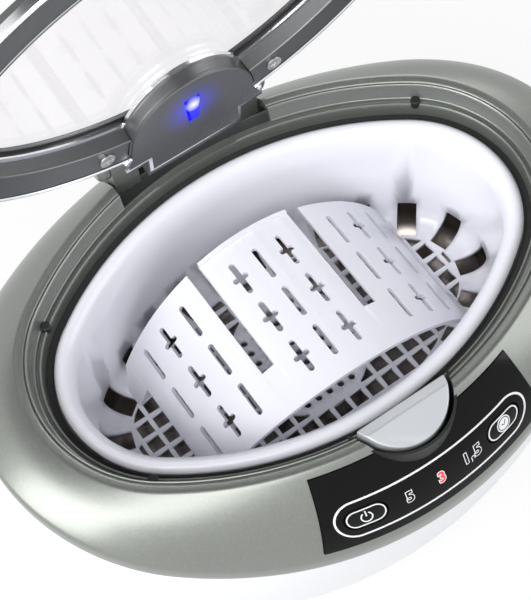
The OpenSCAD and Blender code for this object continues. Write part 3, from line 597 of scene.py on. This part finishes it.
# %% Panel surface
def on_bevel(x, v, lift=0.0):
    """Point of the front bevel, in mm. The side arcs' radii, mixed as the
    bevel mixes them, give the normal angle whose point has that x. The lift
    goes along the surface normal, from the two slopes of the surface."""
    def point(x, v):
        w = bevel_weights(v)
        radius = np.array([row[0] + row[1] for row in (CREST, MID, EDGE)])
        cos = x / (w @ radius)
        sin = -np.sqrt(1 - cos * cos)
        y = z = 0
        for k, (a, d, height, drop) in enumerate((CREST, MID, EDGE)):
            yk = 2 * d + radius[k] * sin
            y = y + w[..., k] * yk
            z = z + w[..., k] * (height - arch_fall(yk, a - d, drop))
        return np.stack([x + 0 * y, y, z], -1)

    x, v = np.broadcast_arrays(np.asarray(x, float), np.asarray(v, float))
    p = point(x, v)
    across, down = point(x + 0.05, v) - p, point(x, v + 0.002) - p
    normal = np.cross(down, across)
    normal /= np.linalg.norm(normal, axis=-1, keepdims=True)
    return p + normal * np.asarray(lift)[..., None]


def slab(name, outer, inner, angle=35):
    """Closed plate from two grids of points in mm, joined all round."""
    nu, nv = outer.shape[:2]
    loop = np.concatenate([outer, inner[:, ::-1]], 1) * MM
    sides = grid_faces(nu, 2 * nv, False, True)
    k = np.arange(nv - 1)
    ends = []
    for first in (0, (nu - 1) * 2 * nv):
        last = first + 2 * nv - 1
        ends.append(np.stack([first + k, first + k + 1, last - 1 - k, last - k], -1))
    return new_piece(name, loop, np.concatenate([sides, *ends]), angle)


SLOPE = 33.4  # length of the bevel at the front, in mm
PANEL_TOP, PANEL_LOW = 0.085, 0.92  # shares of the bevel, from just below the crest
PANEL_HALF, PANEL_SPREAD = 34.3, 5.5  # half width at the crest and what it gains


def panel_sheet(lift, grow=0.0):
    """Grid of the panel in mm: rows down the bevel, each as wide as the
    panel's sloping sides allow."""
    across = np.linspace(-1, 1, 81)[:, None]
    share = np.linspace(PANEL_TOP - grow / SLOPE, PANEL_LOW + grow / SLOPE, 44)[None, :]
    half_width = PANEL_HALF + grow + PANEL_SPREAD * share / PANEL_LOW
    return on_bevel(across * half_width, share + 0 * across, lift)


panel = slab("touch_panel", panel_sheet(0.5), panel_sheet(-1.8))
opening = slab("panel_tool", panel_sheet(4, 0.2), panel_sheet(-7, 0.2))
cut(top, opening)
tidy_mesh(top, 40)
place(top, "silver_housing", "base", "upper_housing")
print("panel faces", len(panel.data.polygons), "top faces", len(top.data.polygons))

# %% [markdown]
# ## Two keys
# Each key is an outline with round ends, drawn on the bevel: its crown, its
# rounded rim and its side are the same outline at other insets and lifts. Its
# opening in the panel is the same shape, a little larger.

# %% Keys and their openings
KEY_V, KEY_X = 0.615, 24.7  # share down the bevel, and how far to each side
KEY_HALF, KEY_WIDE, KEY_GAP = 6.5, 3.5, 0.35


def stadium(half_l, half_w, steps=24):
    """Outline with round ends, as points across and down: two half circles
    and two straight runs, with as many points on each run as on each end."""
    angle = np.linspace(-np.pi / 2, np.pi / 2, steps)
    end = np.column_stack([half_l - half_w + half_w * np.cos(angle), half_w * np.sin(angle)])
    run = np.linspace(half_l - half_w, half_w - half_l, steps + 2)[1:-1]
    side = np.column_stack([run, np.full(steps, half_w)])
    return np.vstack([end, side, -end, -side])


def button(name, outline, middle, profile, angle=35):
    """Closed solid on the bevel: each step of the profile scales the outline
    by its first value, insets it by its second and lifts it by its third."""
    length = np.linalg.norm(outline, axis=1, keepdims=True)
    loops = []
    for scale, inset, lift in profile:
        flat = outline * scale * (1 - inset / length)
        loops.append(on_bevel(middle[0] + flat[:, 0], middle[1] - flat[:, 1] / SLOPE, lift))
    surface = np.stack(loops, 1) * MM
    return new_piece(name, surface, grid_faces(*surface.shape[:2], True, False), angle)


key_outline = stadium(KEY_HALF, KEY_WIDE)
hole_outline = stadium(KEY_HALF + KEY_GAP, KEY_WIDE + KEY_GAP)
hole_profile = [(0, 0, 5), (1, 0, 5), (1, 0, -6), (0, 0, -6)]
holes = [button("key_hole", hole_outline, (side * KEY_X, KEY_V), hole_profile) for side in (-1, 1)]
cut(panel, latch_tool(), *holes)
tidy_mesh(panel, 35)
place(panel, "panel_black", "base", "control_panel")
key_profile = [(0, 0, 0.62), (0.5, 0, 0.6), (1, 0.5, 0.52), (1, 0.15, 0.42), (1, 0, 0.15), (1, 0, -4.4),
               (0, 0, -4.4)]
KEYS = ((-1, "power_key"), (1, "timer_key"))
for side, node in KEYS:
    key = button(node + "_cap", key_outline, (side * KEY_X, KEY_V), key_profile)
    place(key, "key_black", node, node)
print("keys at", KEY_X, "mm to each side, share", KEY_V, "down the bevel")

# %% [markdown]
# ## Printed marks
# The outline round both keys, the rings on the keys, the on/off sign and the
# clock are thin ribbons laid on the same surface, a tenth of a millimetre
# or less above it. The clock's disc is a flat button.

# %% Marks
def ribbon(name, path, width, material, body_name, lift=0.58, closed=True):
    """Thin strip along a path of places across and up from the keys, in mm, on
    the bevel: each side is the path moved half the width along its normal."""
    path = np.asarray(path, float)
    if closed:
        ahead, back = np.roll(path, -1, 0), np.roll(path, 1, 0)
    else:
        ahead, back = np.vstack([path[1:], path[-1:]]), np.vstack([path[:1], path[:-1]])
    along = ahead - back
    along /= np.linalg.norm(along, axis=1, keepdims=True)
    side = np.column_stack([-along[:, 1], along[:, 0]]) * width / 2
    low = lift - 0.1
    loops = []
    for flat, height in ((path - side, lift), (path + side, lift), (path + side, low), (path - side, low)):
        loops.append(on_bevel(flat[:, 0], KEY_V - flat[:, 1] / SLOPE, height))
    obj = new_piece(name, np.stack(loops, 1) * MM, strip_faces(len(path), closed), 60)
    obj.data.materials.append(material)
    return place(obj, "panel_black", body_name)


def arc(cx, cy, r, start, end, steps=40):
    """Points of a circle's arc, in degrees from +x."""
    angle = np.radians(np.linspace(start, end, steps))
    return np.column_stack([cx + r * np.cos(angle), cy + r * np.sin(angle)])


TRACK_HALF, TRACK_WIDE = 34.0, 6.6
MARK_BLACK = FINISH["key_black"]
ribbon("track_outline", stadium(TRACK_HALF, TRACK_WIDE, 60), 0.65, MARK_WHITE, "base")
for side, node in KEYS:
    key_ring = stadium(KEY_HALF - 0.6, KEY_WIDE - 0.6) + (side * KEY_X, 0)
    ribbon(node + "_ring", key_ring, 0.4, MARK_WHITE, node, 0.62)
power_ring = arc(-KEY_X, -0.2, 1.7, 120, 420)
power_bar = [(-KEY_X, 0.1), (-KEY_X, 2.1)]
ribbon("power_ring", power_ring, 0.4, MARK_WHITE, "power_key", 0.68, False)
ribbon("power_bar", power_bar, 0.4, MARK_WHITE, "power_key", 0.68, False)
disc_profile = [(0, 0, 0.7), (1, 0, 0.7), (1, 0, 0.55), (0, 0, 0.55)]
clock = button("clock_disc", arc(0, 0, 2.55, 0, 351), (KEY_X, KEY_V), disc_profile)
clock.data.materials.append(MARK_WHITE)
place(clock, "panel_black", "timer_key")
clock_ring = arc(KEY_X, 0, 2.05, 0, 351)
clock_hands = [(KEY_X - 0.8, 0.3), (KEY_X, -0.4), (KEY_X + 0.9, 0.9)]
ribbon("clock_ring", clock_ring, 0.22, MARK_BLACK, "timer_key", 0.76)
ribbon("clock_hands", clock_hands, 0.26, MARK_BLACK, "timer_key", 0.76, False)
print("track outline", 2 * TRACK_HALF, "by", 2 * TRACK_WIDE, "mm")

# %% [markdown]
# ## Minute figures
# Each figure is drawn flat from the built-in font, made a mesh, and then laid
# on the bevel point by point. A wide white copy under it is its outline.


# %% Draw the figures
FIGURE_SIZE = 5.2


def figure(name, text, x, fill):
    """Outlined figure: a wide white copy under a narrow one in the fill."""
    for part, grow, lift, paint in (("edge", 0.4, 0.57, MARK_WHITE), ("face", 0.12, 0.6, fill)):
        curve = bpy.data.curves.new(name, "FONT")
        curve.body = text
        curve.size = FIGURE_SIZE
        curve.align_x = "CENTER"
        curve.offset = grow
        curve.space_character = 1.12
        shape = bpy.data.objects.new(name + "_" + part, curve)
        scene.collection.objects.link(shape)
        graph = bpy.context.evaluated_depsgraph_get()
        mesh = bpy.data.meshes.new_from_object(shape.evaluated_get(graph))
        flat = np.zeros(len(mesh.vertices) * 3, np.float32)
        mesh.vertices.foreach_get("co", flat)
        flat = flat.reshape(-1, 3)
        laid = on_bevel(x + flat[:, 0], KEY_V + 0.06 - flat[:, 1] / SLOPE, lift) * MM
        mesh.vertices.foreach_set("co", laid.astype(np.float32).ravel())
        bpy.data.objects.remove(shape)
        mesh.materials.clear()
        mesh.materials.append(paint)
        obj = bpy.data.objects.new(name + "_" + part, mesh)
        scene.collection.objects.link(obj)
        place(obj, "panel_black", "base")


figure("five", "5", -10.8, FINISH["panel_black"])
figure("three", "3", 0.3, MARK_RED)
figure("one_and_half", "1,5", 11.6, FINISH["panel_black"])

# %% [markdown]
# ## Latch well and tank seal
# Two dark parts stand for the shade round the steel and the latch: the real
# rubber seal that fills the gap under the basket's rim, whose dark rubber also
# stands for the shade in that gap, and a black wall that lines the well round
# the front of the latch button, which is painted shade in the gap round the latch.


# %% Seal and well
def carried(name, profile, d=INNER, angle=turn, move=None, sharp=40):
    """Profile of (half length, height) carried round its oval, as a closed
    ring, or as an arc with closed ends where the angles don't go all round."""
    shape = np.asarray(profile, float)
    x, y = oval(shape[:, 0][None, :], d, angle[:, None])
    points = np.stack([x, y, np.broadcast_to(shape[:, 1], x.shape)], -1)
    if move is not None:
        points = move(points)
    whole = len(angle) == len(turn)
    faces = [list(f) for f in grid_faces(len(angle), len(shape), whole, True)]
    if not whole:
        last = (len(angle) - 1) * len(shape)
        faces += [list(range(len(shape)))[::-1], list(range(last, last + len(shape)))]
    return new_piece(name, points * MM, faces, sharp)


# The seal is a real rubber part. Its dark rubber, laid across the whole gap under the basket's rim, also
# stands for the shade in that gap.
seal_profile = [(80.4, 96.1), (84.5, 96.1), (84.5, 97.4), (83.2, 97.45), (81.2, 97.0), (80.4, 96.6)]
seal = carried("tank_seal_ring", seal_profile)
place(seal, "rubber", "base", "tank_seal")
# Painted shade: the well's black lining is a dark wall that stands for the shade in the gap round the latch.
WELL_LOW, WELL_TOP = 93.6, 107.6
near, far = moon_outline(1.45, 0.6, 60), moon_outline(2.3, 0.6, 60)
well_points = stacked([(near, WELL_LOW), (near, WELL_TOP), (far, WELL_TOP), (far, WELL_LOW)]) * MM
well = new_piece("latch_well_painted_shade", well_points, strip_faces(len(near)))
place(well, "black_plastic", "base")
print("seal and well", len(seal.data.polygons), len(well.data.polygons))

# %% [markdown]
# ## Lid trim
# The lid is drawn shut and turned open about its hinge line. Three rings
# follow its edge, the line on its face and the window; each stops at the
# lamp's boss.


# %% Lid rings
HINGE = np.array([0, 62.5, 114.0])
OPEN = np.radians(-85)


def opened(points):
    """Turns points of the shut lid about the hinge line to where it stands."""
    x, y, z = np.moveaxis(points - HINGE, -1, 0)
    cos, sin = np.cos(OPEN), np.sin(OPEN)
    return np.stack([x, cos * y - sin * z, sin * y + cos * z], -1) + HINGE


def open_arc(a, half_gap):
    """Normal angles all round an oval but for a gap of the given half width at
    the back."""
    side = np.arccos(half_gap / (a + INNER))
    return np.linspace(np.pi - side, side + 2 * np.pi, 400)


edge_profile = [(80.0, 104.1), (80.35, 103.75), (80.8, 103.75), (81.0, 104.1), (81.3, 104.2),
                (81.5, 104.6), (81.5, 106.9), (81.1, 107.3), (80.5, 107.3), (80.5, 104.5)]
line_profile = [(70.2, 104.4), (70.3, 103.95), (70.6, 103.8), (70.95, 103.95), (71.05, 104.4)]
rim_profile = [(68.3, 109.6), (68.4, 109.0), (69.4, 108.6), (69.7, 108.9), (69.7, 109.6)]
edge_trim = carried("lid_edge_trim", edge_profile, angle=open_arc(81, 22.6), move=opened, sharp=30)
place(edge_trim, "trim_chrome", "lid", "lid_trim")
face_line = carried("lid_face_line", line_profile, angle=open_arc(70.6, 21.3), move=opened, sharp=80)
place(face_line, "boss_grey", "lid")
window_rim = carried("window_rim", rim_profile, angle=open_arc(69, 20.5), move=opened, sharp=50)
place(window_rim, "trim_chrome", "lid")


print("lid trim faces", sum(len(trim.data.polygons) for trim in (edge_trim, face_line, window_rim)))

# %% [markdown]
# ## Lamp face
# A plate with stepped notches covers the boss and the hinge tongue, and an
# almond-shaped rise stands on it. Both are cut through for the lens. Bright
# strips edge the boss and the notches.


# %% Lamp face
def face_plate(name, outline, low, high, chamfer=0.3, inset=0.35):
    """Flat plate over an outline on the lid's inner face: walls, a chamfer and
    a flat face towards the tank. The outline is shrunk towards its middle."""
    flat = np.asarray(outline, float)
    normals = []
    for run in (np.roll(flat, -1, 0) - flat, flat - np.roll(flat, 1, 0)):
        normals.append(np.column_stack([run[:, 1], -run[:, 0]]) / np.linalg.norm(run, axis=1, keepdims=True))
    normal = normals[0] + normals[1]
    normal /= np.maximum(np.sum(normal * normals[0], 1, keepdims=True), 0.4)
    area = 0.5 * np.sum(flat[:, 0] * np.roll(flat[:, 1], -1) - flat[:, 1] * np.roll(flat[:, 0], -1))
    shrunk = flat - normal * inset * np.sign(area)
    count = len(flat)
    points = stacked([(flat, high), (flat, low + chamfer), (shrunk, low)])
    faces = [list(f) for f in grid_faces(count, 3, True, False)]
    faces += [list(range(0, 3 * count, 3)), list(range(2, 3 * count, 3))[::-1]]
    return new_piece(name, opened(points) * MM, faces, 30)


def mirrored(half):
    """Path of one side, then the same path backwards on the other side."""
    half = np.asarray(half, float)
    return np.vstack([half, (half * (-1, 1))[::-1]])


def cut_lens(obj):
    """Cuts the lens opening, a narrowing slot, through a piece of the lid."""
    tool = prism("lens_tool", [(-2.95, 33.2), (2.95, 33.2), (1.95, 44.7), (-1.95, 44.7)], 100, 104.4)
    corners = np.array([v.co for v in tool.data.vertices]) / MM
    tool.data.vertices.foreach_set("co", (opened(corners) * MM).ravel())
    tidy_mesh(tool, 30)
    cut(obj, tool)
    tidy_mesh(obj, 30)


BOSS_Y = 47.4  # the boss is round about this place
notches = mirrored([(22.4, 48.6), (24.6, 49.4), (24.6, 53.2), (16.6, 53.2), (16.6, 60.4)])
plate = face_plate("lamp_face", np.vstack([arc(0, BOSS_Y, 22.6, 202, 338, 60), notches]), 103.0, 104.25)
cut_lens(plate)
almond = np.vstack([arc(0, 55.5, 24.5, 215, 325, 50), arc(0, 24.0, 26.5, 41, 139, 40)])
rise = face_plate("lamp_almond", almond, 102.6, 103.1, 0.25, 0.5)
cut_lens(rise)
print("lamp face", len(plate.data.polygons), "almond", len(rise.data.polygons))


# %% Trim of the boss
def lid_strip(name, outer_path, inner_path, high, low, sharp=20):
    """Thin strip on the lid between two paths, from height high down to low."""
    points = stacked([(outer_path, high), (outer_path, low), (inner_path, low - 0.2), (inner_path, high)])
    strip = new_piece(name, opened(points) * MM, strip_faces(len(outer_path)), sharp)
    return place(strip, "trim_chrome", "lid")


boss_edge, boss_inner = [arc(0, BOSS_Y, radius, 203, 337, 90) for radius in (23.5, 22.5)]
lid_strip("boss_trim", boss_edge, boss_inner, 109.4, 108.2, 60)
notch_edge = mirrored([(-22.4, 48.6), (-24.9, 49.1), (-24.9, 53.5), (-16.9, 53.5), (-16.9, 60.7)])
notch_inner = mirrored([(-22.4, 47.6), (-23.8, 50.2), (-23.8, 52.5), (-15.8, 52.5), (-15.8, 59.7)])
notch_trim = lid_strip("notch_trim", notch_edge, notch_inner, 104.4, 103.1)
print("notch trim faces", len(notch_trim.data.polygons))

# %% [markdown]
# ## Lamp light
# The lamp shows as a white spot in the lens and a blue glow that fades over
# the face round it. The glow is painted light: emission in the face's paint
# that stands for the lamp's light falling on it. Both are round patterns about
# points of the lid, drawn on Object coordinates, so that they stay in place as the lid turns.


# %% Lit lens and glow
def fading_spot(material, centre, radius, inside, outside, power):
    """Emission that goes from one colour at the centre to another at the
    radius, in mm, by a ball-shaped gradient raised to a power."""
    tree = material.node_tree
    new, link = tree.nodes.new, tree.links.new
    coords, spot = new("ShaderNodeTexCoord"), new("ShaderNodeMapping")
    ball, curve, mix = new("ShaderNodeTexGradient"), new("ShaderNodeMath"), new("ShaderNodeMix")
    size = 1 / (radius * MM)
    spot.inputs["Scale"].default_value = (size, size, size)
    spot.inputs["Location"].default_value = [-c * size for c in centre]
    ball.gradient_type = "SPHERICAL"
    curve.operation = "POWER"
    curve.inputs[1].default_value = power
    mix.data_type = "RGBA"
    mix.inputs[6].default_value = outside
    mix.inputs[7].default_value = inside
    link(coords.outputs["Object"], spot.inputs["Vector"])
    link(spot.outputs[0], ball.inputs[0])
    link(ball.outputs["Fac"], curve.inputs[0])
    link(curve.outputs[0], mix.inputs[0])
    shader = tree.nodes["Principled BSDF"]
    link(mix.outputs[2], shader.inputs["Emission Color"])
    shader.inputs["Emission Strength"].default_value = 1.0


WHITE_LIGHT, BLUE_LIGHT, BLUE_GLOW, NO_LIGHT = (1, 1, 1, 1), (0, 0, 0.92, 1), (0, 0, 0.95, 1), (0, 0, 0, 1)
hot_point = opened(np.array([0.2, 36.0, 102.3])) * MM
glow_point = opened(np.array([0.0, 38.0, 102.6])) * MM
fading_spot(FINISH["lens_blue"], hot_point, 3.2, WHITE_LIGHT, BLUE_LIGHT, 0.9)
# Painted light: the face's paint, and the almond's copy of it, emit a blue glow round the lens that stands
# for the lamp's light on the face.
glow_plate_finish = FINISH["boss_grey"].copy()
glow_plate_finish.name = "lamp_face_painted_glow"
fading_spot(glow_plate_finish, glow_point, 13, BLUE_GLOW, NO_LIGHT, 2.2)
plate.data.materials.append(glow_plate_finish)
place(plate, "boss_grey", "lid")
glow_almond_finish = glow_plate_finish.copy()
glow_almond_finish.name = "almond_painted_glow"
glow_almond_finish.node_tree.nodes["Group"].inputs["Colour"].default_value = srgb(136, 137, 138)
rise.data.materials.append(glow_almond_finish)
place(rise, "boss_grey", "lid")
lens_outline = [(-2.75, 33.4), (2.75, 33.4), (1.8, 44.5), (-1.8, 44.5)]
lens = face_plate("lamp_lens_lit", lens_outline, 102.35, 105.0, 0.5, 0.7)
place(lens, "lens_blue", "lid", "lamp_lens")
print("light in the lens at", [round(c, 4) for c in hot_point])

# %% [markdown]
# ## All other parts
# The remaining shapes come from the frame. Seen parts get a smooth copy with
# the rounding that such a moulding has; parts inside keep the CAD mesh and
# only take their finish.

# %% Parts from the frame
SKINS = {
    "latch_button": ("latch_silver", "latch", 0.7), "basket": ("basket_white", "basket", 0),
    "insert": ("basket_white", "insert", 0.35), "tank": ("steel", "base", 0),
    "lid_ring": ("lid_grey", "lid", 0.35), "lid_cover": ("lid_grey", "lid", 0.6),
    "lid_window": ("window_clear", "lid", 0),
    "lamp_boss": ("boss_grey", "lid", 0.7),
    "lid_screws": ("screw_steel", "lid", 0.2), "lid_bumpers": ("black_plastic", "base", 0.4),
    "hinge_block_left": ("silver_housing", "base", 0.5), "hinge_block_right": ("silver_housing", "base", 0.5),
    "hinge_pin_left": ("silver_housing", "base", 0.4), "hinge_pin_right": ("silver_housing", "base", 0.4),
    "foot_front_left": ("rubber", "base", 0.5), "foot_front_right": ("rubber", "base", 0.5),
    "foot_back_left": ("rubber", "base", 0.5), "foot_back_right": ("rubber", "base", 0.5),
    "base_plate": ("base_plastic", "base", 0.4), "power_inlet": ("black_plastic", "base", 0.4),
    "base_screws": ("screw_steel", "base", 0.15),
}
INSIDE = {
    "transducer_horn": "aluminium", "piezo_rings": "ceramic",
    "transducer_backing": "steel", "transducer_bolt": "screw_steel", "driver_board": "board_green",
    "driver_transformer": "ferrite", "driver_capacitors": "capacitor_sleeve", "heat_sink": "aluminium",
    "control_board": "board_green", "key_switches": "black_plastic", "timer_lamps": "lamp_red",
    "latch_spring": "screw_steel", "lamp_board": "board_green", "lower_housing": "white_housing",
}
SHARP_ANGLE, BASKET_ANGLE = 30, 52  # the basket's many small faces need the wider angle
for node, (slot, body_name, width) in SKINS.items():
    smooth_copy(node, slot, body_name, width, BASKET_ANGLE if node == "basket" else SHARP_ANGLE)
for node, slot in INSIDE.items():
    data = nodes[node].data
    data.materials.clear()
    data.materials.append(FINISH[slot])
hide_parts("lower_housing")
print("skins", len(SKINS), "inside", len(INSIDE))
